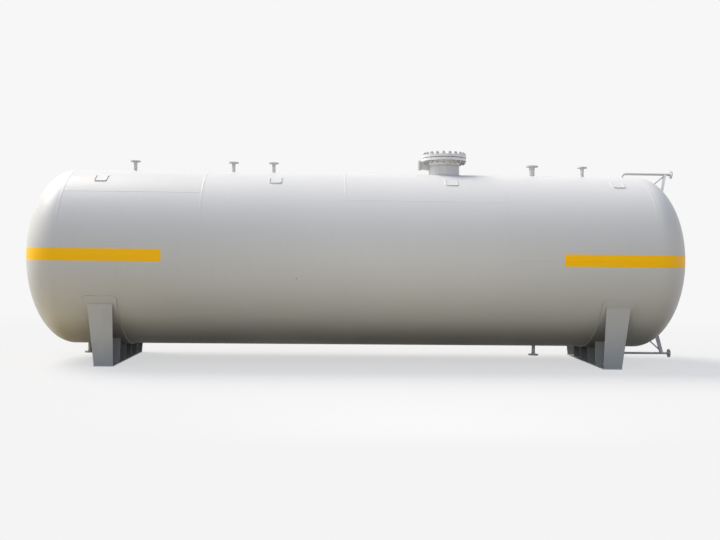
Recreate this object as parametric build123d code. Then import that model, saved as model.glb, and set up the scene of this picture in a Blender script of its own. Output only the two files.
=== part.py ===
from build123d import *
from math import cos, radians, sin, sqrt
import os

os.makedirs("parts", exist_ok=True)

# A horizontal pressure tank: a welded cylinder with two elliptical heads, carried on two steel saddles.
# Millimetres, +Z up, +X along the tank. Every piece is drawn about the vessel's axis, which is the X axis,
# and is lifted by axis_height when it is written, so the floor is Z = 0 below the tank's middle.

# Vessel. A setback, here and below, runs in towards the middle from the nearer head's seam.
tank_length = 10630.0
shell_radius = 1416.0
shell_wall = 16.0
straight_flange = 25.0
first_seam_x = -2455.0
middle_seam_x = -245.0
last_seam_x = 2266.0

# Clearance between welded pieces whose curved faces meet
weld_gap = 0.3

# Saddles
left_saddle_setback = 639.0
right_saddle_setback = 599.0
saddle_height = 270.0
base_length = 2040.0
base_width = 300.0
base_thickness = 16.0
saddle_plate = 14.0
end_plate_foot = 290.0
end_plate_head = 376.0
saddle_angle = 120.0
wrapper_width = 505.0
wrapper_thickness = 12.0
wrapper_angle = 131.0
wrapper_corner = 60.0
rib_spacing = 408.0
rib_rows = 4
anchor_edge_x = 60.0
anchor_edge_y = 120.0
anchor_hole = 28.0
anchor_slot = 60.0

# Manhole: neck, weld-neck flange, gasket, blind cover, studs
manhole_x = 1415.0
manhole_rise = 273.0
manhole_neck_diameter = 508.0
manhole_neck_wall = 14.0
manhole_flange_diameter = 730.0
manhole_flange_thickness = 48.0
manhole_hub_diameter = 562.0
manhole_hub_height = 125.0
manhole_hub_end = 20.0
manhole_face_diameter = 615.0
manhole_face_step = 4.0
manhole_bolt_circle = 660.0
manhole_bolt_count = 20
manhole_bolt_hole = 36.0
gasket_thickness = 3.0
gasket_bore = 520.0
stud_diameter = 33.0
stud_overhang = 14.0
nut_across_flats = 50.0
nut_height = 31.0

# Socket on the manhole's neck for the arm that lifts the cover
socket_diameter = 57.0
socket_bore = 43.0
socket_length = 156.0
socket_foot_rise = 80.0
socket_offset = 410.0
socket_plate = 14.0
socket_plate_height = 124.0
socket_plate_slant = 22.0

# Top and bottom nozzles, nominal size 50
first_nozzle_setback = 879.0
second_nozzle_x = -2083.0
third_nozzle_x = -1420.0
last_nozzle_setback = 829.0
left_drain_setback = 154.0
right_drain_setback = 1614.0
nozzle_rise = 172.0
drain_drop = 168.0
pipe_diameter = 57.0
pipe_wall = 5.0
flange_diameter = 165.0
flange_thickness = 22.0
hub_diameter = 75.0
hub_height = 48.0
hub_end = 6.0
face_diameter = 102.0
face_step = 2.0
bolt_circle = 125.0
bolt_count = 4
bolt_hole = 18.0

# The larger top nozzle, nominal size 80
large_nozzle_setback = 1679.0
large_nozzle_rise = 180.0
large_pipe_diameter = 89.0
large_pipe_wall = 6.0
large_flange_diameter = 200.0
large_flange_thickness = 24.0
large_hub_diameter = 105.0
large_hub_height = 58.0
large_hub_end = 8.0
large_face_diameter = 138.0
large_bolt_circle = 160.0
large_bolt_count = 8

# Level gauge connections round the right head, nominal size 32
gauge_riser_setback = 152.0
gauge_top_face_from_end = 52.0
gauge_bottom_face_from_end = 35.0
gauge_top_rise = 66.0
gauge_bottom_drop = 118.0
gauge_pipe_diameter = 38.0
gauge_pipe_wall = 4.0
gauge_bend_radius = 64.0
gauge_flange_diameter = 140.0
gauge_flange_thickness = 18.0
gauge_hub_diameter = 56.0
gauge_hub_height = 42.0
gauge_hub_end = 5.0
gauge_face_diameter = 78.0
gauge_bolt_circle = 100.0

# Struts between the right head and the gauge pipes: distances of foot and top from the tank's end. Each
# rod runs towards the pipe but ends on the angle beside it.
rod_strut_diameter = 22.0
angle_strut_width = 50.0
angle_strut_thickness = 6.0
top_rod_foot_from_end = 401.0
top_rod_head_from_end = 140.0
top_angle_foot_from_end = 225.0
top_angle_head_from_end = 145.0
bottom_rod_foot_from_end = 418.0
bottom_rod_head_from_end = 138.0
bottom_angle_foot_from_end = 300.0
bottom_angle_head_from_end = 193.0

# Walkway clips: U-shaped flat bars on edge, in four pairs
first_clip_setback = 507.0
second_clip_x = -1345.0
third_clip_x = 1443.0
last_clip_setback = 462.0
clip_angle = 29.7
clip_width = 185.0
clip_leg = 195.0
clip_bar = 12.0
clip_stand = 10.0
clip_corner = 30.0

# Worked out from the sizes above
axis_height = shell_radius + saddle_height
inner_radius = shell_radius - shell_wall
inner_head_depth = inner_radius / 2
head_depth = inner_head_depth + shell_wall
half_length = tank_length / 2
tangent_x = half_length - head_depth
head_seam_x = tangent_x - straight_flange
floor_z = -axis_height
wrapper_inner = shell_radius + weld_gap
wrapper_outer = wrapper_inner + wrapper_thickness
saddle_seat = wrapper_outer + weld_gap
gasket_plane = shell_radius + manhole_rise
cover_top = gasket_plane + gasket_thickness + manhole_flange_thickness
saddle_xs = {"left": left_saddle_setback - head_seam_x, "right": head_seam_x - right_saddle_setback}
first_nozzle_x = first_nozzle_setback - head_seam_x
last_nozzle_x = head_seam_x - last_nozzle_setback
large_nozzle_x = head_seam_x - large_nozzle_setback
nozzle_xs = (first_nozzle_x, second_nozzle_x, third_nozzle_x, last_nozzle_x)
nozzle_stations = sorted(nozzle_xs + (large_nozzle_x,))
drain_xs = {"left": left_drain_setback - head_seam_x, "right": head_seam_x - right_drain_setback}
gauge_riser_x = head_seam_x - gauge_riser_setback
clip_xs = (first_clip_setback - head_seam_x, second_clip_x, third_clip_x, head_seam_x - last_clip_setback)


def write(name, shape):
    """Lift a finished piece to its height above the floor and write it."""
    export_step(Pos(0, 0, axis_height) * shape, f"parts/{name}.step")


def bar_along_x(radius, start_x, end_x):
    """A round bar on the vessel's axis from start_x to end_x."""
    return Pos((start_x + end_x) / 2, 0, 0) * Rot(0, 90, 0) * Cylinder(radius, end_x - start_x)


def rod(radius, start, end):
    """A round bar from one point to another."""
    way = Vector(*end) - Vector(*start)
    return extrude(Plane(origin=start, z_dir=way) * Circle(radius), way.length)


def head_form(depth, radius):
    """The right head as a solid form: a straight flange and half an ellipsoid of a given depth and radius."""
    bulge = EllipticalCenterArc((tangent_x, 0), depth, radius, start_angle=0, arc_size=90)
    rest = Polyline(bulge @ 1, (head_seam_x, radius), (head_seam_x, 0), bulge @ 0)
    return revolve(Plane.XZ * make_face(bulge + rest), axis=Axis.X)


# Shell: four courses and two heads, with a hole for each neck that goes through them
necks_up = [(x, pipe_diameter) for x in nozzle_xs]
necks_up += [(large_nozzle_x, large_pipe_diameter), (manhole_x, manhole_neck_diameter)]
necks_up += [(gauge_riser_x, gauge_pipe_diameter)]
necks_down = [(x, pipe_diameter) for x in drain_xs.values()] + [(gauge_riser_x, gauge_pipe_diameter)]


def neck_hole(x, diameter, way):
    """The round hole for a neck, from inside the vessel out through its top (way 1) or bottom (way -1)."""
    deep = inner_radius - diameter
    return rod(diameter / 2 + weld_gap, (x, 0, way * deep), (x, 0, way * (shell_radius + diameter)))


seams = (-head_seam_x, first_seam_x, middle_seam_x, last_seam_x, head_seam_x)
for number, (start_x, end_x) in enumerate(zip(seams, seams[1:]), start=1):
    course = bar_along_x(shell_radius, start_x, end_x) - bar_along_x(inner_radius, start_x, end_x)
    for way, necks in ((1, necks_up), (-1, necks_down)):
        for x, diameter in necks:
            if start_x < x < end_x:
                course -= neck_hole(x, diameter, way)
    write(f"shell_course_{number}", course)

head = head_form(head_depth, shell_radius) - head_form(inner_head_depth, inner_radius)
write("head_right", head)
write("head_left", mirror(head, about=Plane.YZ))


# Necks and flanges
def weld_neck_flange(outer, thickness, hub, height, end, face, step, pipe, wall, circle, count, hole):
    """A weld-neck flange on the Z axis: its sealing face at Z = 0, its hub pointing down to the pipe."""
    bore = pipe / 2 - wall
    outline = [
        (bore, 0),
        (face / 2, 0),
        (face / 2, -step),
        (outer / 2, -step),
        (outer / 2, -thickness),
        (hub / 2, -thickness),
        (pipe / 2, end - height),
        (pipe / 2, -height),
        (bore, -height),
    ]
    body = revolve(Plane.XZ * make_face(Polyline(*outline, close=True)), axis=Axis.Z)
    turn = 180 / count
    drills = PolarLocations(circle / 2, count, start_angle=turn) * Cylinder(hole / 2, 3 * thickness)
    return body - drills


def set_in_neck(x, way, pipe, wall, top):
    """A pipe through the shell, trimmed flush inside, up or down to the distance top from the axis."""
    low = inner_radius - pipe / 2
    neck = rod(pipe / 2, (x, 0, way * low), (x, 0, way * top))
    neck -= rod(pipe / 2 - wall, (x, 0, way * low), (x, 0, way * top))
    return neck - bar_along_x(inner_radius, x - pipe, x + pipe)


small_flange = weld_neck_flange(
    flange_diameter, flange_thickness, hub_diameter, hub_height, hub_end, face_diameter, face_step,
    pipe_diameter, pipe_wall, bolt_circle, bolt_count, bolt_hole,
)
large_flange = weld_neck_flange(
    large_flange_diameter, large_flange_thickness, large_hub_diameter, large_hub_height, large_hub_end,
    large_face_diameter, face_step, large_pipe_diameter, large_pipe_wall, large_bolt_circle,
    large_bolt_count, bolt_hole,
)
gauge_flange = weld_neck_flange(
    gauge_flange_diameter, gauge_flange_thickness, gauge_hub_diameter, gauge_hub_height, gauge_hub_end,
    gauge_face_diameter, face_step, gauge_pipe_diameter, gauge_pipe_wall, gauge_bolt_circle,
    bolt_count, bolt_hole,
)

for number, x in enumerate(nozzle_stations, start=1):
    if x == large_nozzle_x:
        face = shell_radius + large_nozzle_rise
        neck = set_in_neck(x, 1, large_pipe_diameter, large_pipe_wall, face - large_hub_height)
        write(f"top_nozzle_{number}_neck", neck)
        write(f"top_nozzle_{number}_flange", Pos(x, 0, face) * large_flange)
    else:
        face = shell_radius + nozzle_rise
        write(f"top_nozzle_{number}_neck", set_in_neck(x, 1, pipe_diameter, pipe_wall, face - hub_height))
        write(f"top_nozzle_{number}_flange", Pos(x, 0, face) * small_flange)

for name, x in drain_xs.items():
    face = shell_radius + drain_drop
    write(f"drain_{name}_neck", set_in_neck(x, -1, pipe_diameter, pipe_wall, face - hub_height))
    write(f"drain_{name}_flange", Pos(x, 0, -face) * Rot(180, 0, 0) * small_flange)

# Manhole
manhole_flange = weld_neck_flange(
    manhole_flange_diameter, manhole_flange_thickness, manhole_hub_diameter, manhole_hub_height,
    manhole_hub_end, manhole_face_diameter, manhole_face_step, manhole_neck_diameter, manhole_neck_wall,
    manhole_bolt_circle, manhole_bolt_count, manhole_bolt_hole,
)
neck_top = gasket_plane - manhole_hub_height
write("manhole_neck", set_in_neck(manhole_x, 1, manhole_neck_diameter, manhole_neck_wall, neck_top))
write("manhole_flange", Pos(manhole_x, 0, gasket_plane) * manhole_flange)

gasket = Circle(manhole_face_diameter / 2) - Circle(gasket_bore / 2)
write("manhole_gasket", Pos(manhole_x, 0, gasket_plane) * extrude(gasket, gasket_thickness))

bolt_turn = 180 / manhole_bolt_count
bolt_places = PolarLocations(manhole_bolt_circle / 2, manhole_bolt_count, start_angle=bolt_turn)
disc = extrude(Circle(manhole_flange_diameter / 2), manhole_flange_thickness - manhole_face_step)
cover = Pos(0, 0, manhole_face_step) * disc + extrude(Circle(manhole_face_diameter / 2), manhole_face_step)
cover -= bolt_places * Cylinder(manhole_bolt_hole / 2, 3 * manhole_flange_thickness)
write("manhole_cover", Pos(manhole_x, 0, gasket_plane + gasket_thickness) * cover)

grip_bottom = gasket_plane - manhole_flange_thickness
nut = extrude(RegularPolygon(nut_across_flats / 2, 6, major_radius=False), nut_height)
stud_low = grip_bottom - nut_height - stud_overhang
stud_high = cover_top + nut_height + stud_overhang
stud = rod(stud_diameter / 2, (0, 0, stud_low), (0, 0, stud_high))
stud = stud + Pos(0, 0, cover_top) * nut + Pos(0, 0, grip_bottom - nut_height) * nut
write("manhole_studs", Pos(manhole_x, 0, 0) * Compound(children=bolt_places * stud))

# Lifting-arm socket: a short upright tube held off the neck by a plate that stands on its edge
socket_x = manhole_x - socket_offset
socket_foot = shell_radius + socket_foot_rise
socket_top = socket_foot + socket_length
tube = rod(socket_diameter / 2, (socket_x, 0, socket_foot), (socket_x, 0, socket_top))
plate_top = socket_foot + (socket_length + socket_plate_height) / 2
plate_low = plate_top - socket_plate_height
neck_side = manhole_x - manhole_neck_diameter / 2
plate_outline = Polyline(
    (socket_x, plate_low),
    (neck_side + socket_plate, plate_low - socket_plate_slant),
    (neck_side + socket_plate, plate_top),
    (socket_x, plate_top),
    close=True,
)
plate = extrude(Plane.XZ * make_face(plate_outline), socket_plate / 2, both=True)
neck_space = manhole_neck_diameter / 2 + weld_gap
hub_space = manhole_hub_diameter / 2 + weld_gap
hub_low = neck_top + manhole_hub_end
hub_high = gasket_plane - manhole_flange_thickness
plate -= rod(neck_space, (manhole_x, 0, shell_radius), (manhole_x, 0, gasket_plane))
plate -= Pos(manhole_x, 0, (hub_low + hub_high) / 2) * Cone(neck_space, hub_space, hub_high - hub_low)
socket = tube + plate
socket -= rod(socket_bore / 2, (socket_x, 0, socket_foot), (socket_x, 0, socket_top))
write("davit_socket", socket)

# Level gauge connections: a riser, a bend, a level run to a flange that faces out, and two struts
head_space = head_form(head_depth + weld_gap, shell_radius + weld_gap)


def gauge_pipe(way, level, face_x):
    """Pipe from the shell round a bend to a flange, as one tube of even wall, way 1 up or -1 down."""
    start = (gauge_riser_x, 0, way * (inner_radius - gauge_pipe_diameter))
    corner = (gauge_riser_x, 0, way * level)
    end = (face_x - gauge_hub_height, 0, way * level)
    path = FilletPolyline(start, corner, end, radius=gauge_bend_radius)
    section = Plane(origin=start, z_dir=(0, 0, way))
    outer = sweep(section * Circle(gauge_pipe_diameter / 2), path=path)
    inner = sweep(section * Circle(gauge_pipe_diameter / 2 - gauge_pipe_wall), path=path)
    low_x = gauge_riser_x - gauge_pipe_diameter
    high_x = gauge_riser_x + gauge_pipe_diameter
    return outer - inner - bar_along_x(inner_radius, low_x, high_x)


def head_height(x):
    """Radius of the right head's outside at a place along the tank."""
    return shell_radius * sqrt(1 - ((x - tangent_x) / head_depth) ** 2)


def strut(way, foot_from_end, top_from_end, level, section, overrun):
    """A bar of a given section from the head's face to a gauge pipe, coped to both."""
    foot_x = half_length - foot_from_end
    top_x = half_length - top_from_end
    foot = Vector(foot_x, 0, way * head_height(foot_x))
    top = Vector(top_x, 0, way * level)
    run = (top - foot).normalized()
    plane = Plane(origin=foot - run * overrun, z_dir=run, x_dir=(0, 1, 0))
    bar = extrude(plane * section, (top - foot).length + overrun)
    pipe_radius = gauge_pipe_diameter / 2 + weld_gap
    pipe_space = rod(pipe_radius, (head_seam_x, 0, way * level), (half_length, 0, way * level))
    above = Pos(foot_x, 0, way * (level + half_length)) * Box(tank_length, tank_length, tank_length)
    return bar - head_space - pipe_space - above


gauge_levels = {"top": (1, shell_radius + gauge_top_rise), "bottom": (-1, shell_radius + gauge_bottom_drop)}
gauge_faces = {
    "top": half_length - gauge_top_face_from_end,
    "bottom": half_length - gauge_bottom_face_from_end,
}
strut_ends = {
    "top": (top_rod_foot_from_end, top_rod_head_from_end, top_angle_foot_from_end, top_angle_head_from_end),
    "bottom": (
        bottom_rod_foot_from_end, bottom_rod_head_from_end,
        bottom_angle_foot_from_end, bottom_angle_head_from_end,
    ),
}
rod_section = Circle(rod_strut_diameter / 2)
leg_shift = (angle_strut_width - angle_strut_thickness) / 2
angle_section = Rectangle(angle_strut_width, angle_strut_thickness)
angle_section += Pos(-leg_shift, leg_shift) * Rectangle(angle_strut_thickness, angle_strut_width)
angle_room = 4 * angle_strut_width
beyond_shift = (angle_strut_thickness - angle_room) / 2 + weld_gap
for name, (way, level) in gauge_levels.items():
    face_x = gauge_faces[name]
    write(f"gauge_{name}_pipe", gauge_pipe(way, level, face_x))
    write(f"gauge_{name}_flange", Pos(face_x, 0, way * level) * Rot(0, 90, 0) * gauge_flange)
    rod_foot, rod_head, angle_foot, angle_head = strut_ends[name]
    beyond = Pos(0, way * beyond_shift) * Rectangle(angle_room, angle_room)
    angle_space = strut(way, angle_foot, angle_head, level, beyond, angle_room)
    round_bar = strut(way, rod_foot, rod_head, level, rod_section, angle_strut_width) - angle_space
    angle_bar = strut(way, angle_foot, angle_head, level, angle_section, angle_strut_width)
    write(f"gauge_{name}_struts", Compound(children=[round_bar, angle_bar]))

# Saddles: base plate, web, ribs on both sides of it, sloping end plates and the curved wrapper
base_top = floor_z + base_thickness
seat_turn = radians(saddle_angle / 2)
saddle_top = -saddle_seat * cos(seat_turn)
end_plate_reach = saddle_seat * sin(seat_turn) + saddle_plate
plate_slope = (end_plate_reach - base_length / 2) / (saddle_top - base_top)
taper_slope = (end_plate_head - end_plate_foot) / 2 / (saddle_top - base_top)


def trapezoid(foot_half, slope, plane, reach):
    """A block whose section in a plane is a trapezoid from the base's top up to the horns of the seat."""
    head_half = foot_half + slope * (saddle_top - base_top)
    outline = Polyline(
        (-foot_half, base_top), (foot_half, base_top), (head_half, saddle_top), (-head_half, saddle_top),
        close=True,
    )
    return extrude(plane * make_face(outline), reach, both=True)


def saddle(x, slotted):
    """The five pieces of the saddle that stands at x, by name."""
    base = Pos(0, 0, floor_z + base_thickness / 2) * Box(base_width, base_length, base_thickness)
    drill = SlotOverall(anchor_slot, anchor_hole) if slotted else Circle(anchor_hole / 2)
    places = GridLocations(base_width - 2 * anchor_edge_x, base_length - 2 * anchor_edge_y, 2, 2)
    base -= Pos(0, 0, floor_z) * extrude(Sketch() + places * drill, base_thickness)

    seat = bar_along_x(saddle_seat, -base_width, base_width)
    taper = trapezoid(end_plate_foot / 2, taper_slope, Plane.XZ, base_length)
    across = trapezoid(base_length / 2, plate_slope, Plane.YZ, base_width)
    level_plate = saddle_plate * sqrt(1 + plate_slope**2)
    within = trapezoid(base_length / 2 - level_plate, plate_slope, Plane.YZ, base_width)
    web_slab = Box(saddle_plate, 2 * base_length, 4 * axis_height)
    end_plates = (across - within) & taper
    web = (within & web_slab) - seat
    rows = GridLocations(0, rib_spacing, 1, rib_rows)
    rib_slabs = Part() + rows * Box(2 * base_width, saddle_plate, 4 * axis_height)
    ribs = (rib_slabs & taper) - web_slab - seat

    ring = Circle(wrapper_outer) - Circle(wrapper_inner)
    half = wrapper_angle / 2
    wedge = Polyline((0, 0), polar(-90 - half), polar(-90), polar(-90 + half), close=True)
    wrapper = extrude(Plane.YZ * (ring & make_face(wedge)), wrapper_width / 2, both=True)
    corners = wrapper.edges().filter_by(lambda edge: abs(edge.length - wrapper_thickness) < 0.01)
    wrapper = fillet(corners, wrapper_corner)

    pieces = {"base": base, "web": web, "ribs": ribs, "end_plates": end_plates - seat, "wrapper": wrapper}
    return {name: Pos(x, 0, 0) * shape for name, shape in pieces.items()}


def polar(degrees):
    """A point well outside the vessel at an angle in the YZ plane."""
    return (3 * shell_radius * cos(radians(degrees)), 3 * shell_radius * sin(radians(degrees)))


for side, x in saddle_xs.items():
    for name, shape in saddle(x, slotted=side == "left").items():
        write(f"saddle_{side}_{name}", shape)


# Walkway clips: a U of flat bar on edge, open towards the top, on each shoulder of the shell
def clip(x, side):
    """One clip at x on the near (side -1) or the far (side 1) shoulder."""
    half = clip_width / 2
    reach = clip_leg / 2
    points = ((-half, reach), (-half, -reach), (half, -reach), (half, reach))
    middle = FilletPolyline(*points, radius=clip_corner)
    face = trace(middle, line_width=clip_bar)
    lean = radians(clip_angle)
    outward = Vector(0, side * sin(lean), cos(lean))
    foot = outward * (shell_radius - clip_bar) + Vector(x, 0, 0)
    plane = Plane(origin=foot, x_dir=(1, 0, 0), z_dir=outward)
    shape = extrude(plane * face, clip_stand + clip_bar)
    return shape - bar_along_x(shell_radius + weld_gap, x - clip_width, x + clip_width)


for name, side in (("near", -1), ("far", 1)):
    write(f"walkway_clips_{name}", Compound(children=[clip(x, side) for x in clip_xs]))
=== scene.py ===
import math
from collections import namedtuple

import bmesh
import bpy
import numpy as np
from mathutils import Matrix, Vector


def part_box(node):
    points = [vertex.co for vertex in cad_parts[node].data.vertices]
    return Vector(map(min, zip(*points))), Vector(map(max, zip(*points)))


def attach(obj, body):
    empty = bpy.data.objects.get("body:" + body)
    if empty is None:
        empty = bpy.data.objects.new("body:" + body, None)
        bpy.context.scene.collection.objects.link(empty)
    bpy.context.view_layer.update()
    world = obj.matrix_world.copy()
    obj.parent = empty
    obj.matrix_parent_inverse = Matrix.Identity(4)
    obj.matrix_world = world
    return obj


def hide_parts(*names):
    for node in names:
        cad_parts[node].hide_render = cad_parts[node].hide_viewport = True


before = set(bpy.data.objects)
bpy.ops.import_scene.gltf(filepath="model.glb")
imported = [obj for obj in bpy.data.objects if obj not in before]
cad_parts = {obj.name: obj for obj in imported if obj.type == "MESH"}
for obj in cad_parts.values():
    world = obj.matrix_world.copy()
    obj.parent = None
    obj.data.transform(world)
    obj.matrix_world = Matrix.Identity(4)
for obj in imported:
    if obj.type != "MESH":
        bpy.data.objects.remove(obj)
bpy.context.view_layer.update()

# The viewer's eye.
# It stands 14 m in front of the tank, a little left of its middle and 1.7 m above the floor, as in the
# photograph, and looks almost level. Its three turns are in radians.
eye_place = (-0.4701, -14.1698, 1.708)
turned_right, looking_down, leaning = 0.0352, 0.0142, 0.0107
lens = bpy.data.cameras.new("eye")
lens.sensor_width = 36.0
lens.lens = 42.495
eye = bpy.data.objects.new("eye", lens)
eye.matrix_world = (
    Matrix.Translation(eye_place)
    @ Matrix.Rotation(-turned_right, 4, "Z")
    @ Matrix.Rotation(math.pi / 2 - looking_down, 4, "X")
    @ Matrix.Rotation(leaning, 4, "Z")
)
bpy.context.scene.collection.objects.link(eye)
bpy.context.scene.camera = eye
bpy.context.scene.view_settings.view_transform = "Standard"


# The studio floor.
# A wide pale floor that keeps the tank's soft shadow. It throws back a duller, warmer light than it shows, as
# a yard does: least under the tank, more past its ends, and most from a pale patch below its left end.
def place(tree, kind, put=None, **settings):
    """Adds a shader node. put names its inputs: a socket is linked to one, anything else is its value."""
    made = tree.nodes.new(kind)
    for key, value in settings.items():
        setattr(made, key, value)
    for key, value in (put or {}).items():
        if isinstance(value, bpy.types.NodeSocket):
            tree.links.new(value, made.inputs[key])
        else:
            made.inputs[key].default_value = value
    return made


def work(tree, sum_kind, *terms):
    """One Math node on sockets or numbers, such as ADD or MULTIPLY, and its result."""
    return place(tree, "ShaderNodeMath", dict(enumerate(terms)), operation=sum_kind).outputs[0]


def measure(tree, kind, *vectors):
    """One Vector Math node that gives a number, such as LENGTH, DISTANCE or DOT_PRODUCT."""
    return place(tree, "ShaderNodeVectorMath", dict(enumerate(vectors)), operation=kind).outputs["Value"]


def split(tree, vector):
    """The X, Y and Z of a vector."""
    return place(tree, "ShaderNodeSeparateXYZ", {0: vector}).outputs


def spot_of(tree):
    """Where a point lies, in metres from the shared origin: Object coordinates."""
    return place(tree, "ShaderNodeTexCoord").outputs["Object"]


def ease(tree, value, start, stop, low=0.0, high=1.0):
    """Smooth change from low to high while value goes from start to stop."""
    put = {"Value": value, "From Min": start, "From Max": stop, "To Min": low, "To Max": high}
    return place(tree, "ShaderNodeMapRange", put, interpolation_type="SMOOTHSTEP").outputs[0]


def blend_colour(tree, share, first, second, how="MIX"):
    """Mixes two colours by a share, or multiplies them."""
    put = {0: share, 6: first, 7: second}
    return place(tree, "ShaderNodeMix", put, data_type="RGBA", blend_type=how).outputs[2]


def empty_material(name):
    """A material with nothing in it yet, and its node tree."""
    material = bpy.data.materials.new(name)
    material.use_nodes = True
    material.node_tree.nodes.clear()
    return material, material.node_tree


def seen_directly(tree):
    """1 for what the eye, a reflection or glass sees, 0 for light on its way to a surface."""
    path = place(tree, "ShaderNodeLightPath")
    either = work(tree, "MAXIMUM", path.outputs["Is Camera Ray"], path.outputs["Is Glossy Ray"])
    return work(tree, "MAXIMUM", either, path.outputs["Is Transmission Ray"])


floor_reach, floor_rings, spokes = 90.0, 9, 64
radii = floor_reach * np.linspace(0.0, 1.0, floor_rings + 1)[1:, None] ** 2
turns = np.linspace(0, 2 * np.pi, spokes, endpoint=False)[None, :]
rings = np.stack([radii * np.cos(turns), radii * np.sin(turns), 0 * radii * turns], -1).reshape(-1, 3)
floor_points = np.vstack([[0, 0, 0], rings])
spoke = np.arange(spokes)
next_spoke = (spoke + 1) % spokes
inner = np.stack([0 * spoke, 1 + spoke, 1 + next_spoke], -1).tolist()
first = 1 + spokes * np.arange(floor_rings - 1)[:, None]
outer = np.stack([first + spoke, first + spokes + spoke, first + spokes + next_spoke, first + next_spoke], -1)
floor_mesh = bpy.data.meshes.new("floor")
floor_mesh.from_pydata(floor_points.tolist(), [], inner + outer.reshape(-1, 4).tolist())
floor = bpy.data.objects.new("floor", floor_mesh)
bpy.context.scene.collection.objects.link(floor)

background_white = (0.93, 0.93, 0.93, 1)
floor_pale = (0.48, 0.487, 0.495, 1)
shadow_share = 0.35
shadow_keeps_to, shadow_ends = 8.0, 16.0
shade_middle, shade_half_length = 1.1, 4.9
shade_keeps_to, shade_ends = 0.8, 3.1
in_shade, open_yard = (0.03, 0.025, 0.015, 1), (0.24, 0.187, 0.045, 1)
patch_middle, patch_keeps_to, patch_ends = (-5.9, -0.8, 0.0), 0.9, 2.7
pale_patch = (0.43, 0.355, 0.19, 1)

concrete, tree = empty_material("pale floor")
concrete.cycles.emission_sampling = "NONE"
spot = spot_of(tree)
glow = place(tree, "ShaderNodeEmission", {"Color": background_white, "Strength": 1.0}).outputs[0]
shown = place(tree, "ShaderNodeBsdfDiffuse", {"Color": floor_pale}).outputs[0]
near = place(tree, "ShaderNodeMixShader", {0: shadow_share, 1: glow, 2: shown}).outputs[0]
away = ease(tree, measure(tree, "LENGTH", spot), shadow_keeps_to, shadow_ends)
far = place(tree, "ShaderNodeMixShader", {0: away, 1: near, 2: glow}).outputs[0]
spread = split(tree, spot)
from_shade = work(tree, "ABSOLUTE", work(tree, "SUBTRACT", spread["X"], shade_middle))
past_end = work(tree, "MAXIMUM", work(tree, "SUBTRACT", from_shade, shade_half_length), 0.0)
aside = place(tree, "ShaderNodeCombineXYZ", {0: past_end, 1: spread["Y"], 2: 0.0}).outputs[0]
aside = ease(tree, measure(tree, "LENGTH", aside), shade_keeps_to, shade_ends)
yard = blend_colour(tree, aside, in_shade, open_yard)
patch = ease(tree, measure(tree, "DISTANCE", spot, patch_middle), patch_ends, patch_keeps_to)
yard = blend_colour(tree, patch, yard, pale_patch)
dull = place(tree, "ShaderNodeBsdfDiffuse", {"Color": yard}).outputs[0]
both = place(tree, "ShaderNodeMixShader", {0: seen_directly(tree), 1: dull, 2: far}).outputs[0]
place(tree, "ShaderNodeOutputMaterial", {"Surface": both})
floor_mesh.materials.append(concrete)


# The light.
# A broad soft key from the upper left and a little behind, in a pale bluish sky that is brightest to the
# front left and dimmer overhead and behind, and a weak wide panel in front of the tank's middle.
def toward(tree, along):
    """The square of how far a direction points one way, and 0 for all that point the other way."""
    return work(tree, "POWER", work(tree, "MAXIMUM", along, 0.0), 2.0)


sky = bpy.data.worlds.new("sky")
bpy.context.scene.world = sky
sky.use_nodes = True
tree = sky.node_tree
tree.nodes.clear()
way = place(tree, "ShaderNodeTexCoord").outputs["Generated"]
parts = split(tree, way)
front_left_way = (-0.87, -0.49, 0.0)
even_blue = (0.70, 0.775, 0.945)
more_overhead, more_to_right = (-0.60, -0.59, -0.59), (0.62, 0.57, 0.62)
more_to_front_left, more_behind = (0.94, 0.97, 1.02), (-0.48, -0.51, -0.57)
glow = even_blue
for amount, colour in (
    (work(tree, "MAXIMUM", parts["Z"], 0.0), more_overhead),
    (toward(tree, parts["X"]), more_to_right),
    (toward(tree, measure(tree, "DOT_PRODUCT", way, front_left_way)), more_to_front_left),
    (toward(tree, parts["Y"]), more_behind),
):
    more = place(tree, "ShaderNodeVectorMath", {0: colour, "Scale": amount}, operation="SCALE").outputs[0]
    glow = place(tree, "ShaderNodeVectorMath", {0: glow, 1: more}, operation="ADD").outputs[0]
lit = place(tree, "ShaderNodeBackground", {"Color": glow, "Strength": 1.0}).outputs[0]
white = place(tree, "ShaderNodeBackground", {"Color": background_white, "Strength": 1.0}).outputs[0]
mixed = place(tree, "ShaderNodeMixShader", {0: seen_directly(tree), 1: lit, 2: white}).outputs[0]
place(tree, "ShaderNodeOutputWorld", {"Surface": mixed})

key = bpy.data.lights.new("key", "SUN")
key.energy = 5.58
key.angle = math.radians(36)
key.color = (1.0, 0.925, 0.80)
key_lamp = bpy.data.objects.new("key", key)
key_way = np.array([-0.552, 0.345, 0.759])
key_lamp.rotation_euler = (math.acos(key_way[2]), 0.0, math.atan2(key_way[1], key_way[0]) + math.pi / 2)
bpy.context.scene.collection.objects.link(key_lamp)

panel = bpy.data.lights.new("panel", "AREA")
panel.shape = "RECTANGLE"
panel.size, panel.size_y = 3.0, 2.0
panel.energy = 46.0
panel.color = (1.0, 0.95, 0.86)
panel_lamp = bpy.data.objects.new("panel", panel)
panel_lamp.location = (0.6, -6.5, 2.2)
panel_lamp.rotation_euler = (math.pi / 2, 0.0, 0.0)
bpy.context.scene.collection.objects.link(panel_lamp)


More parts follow.
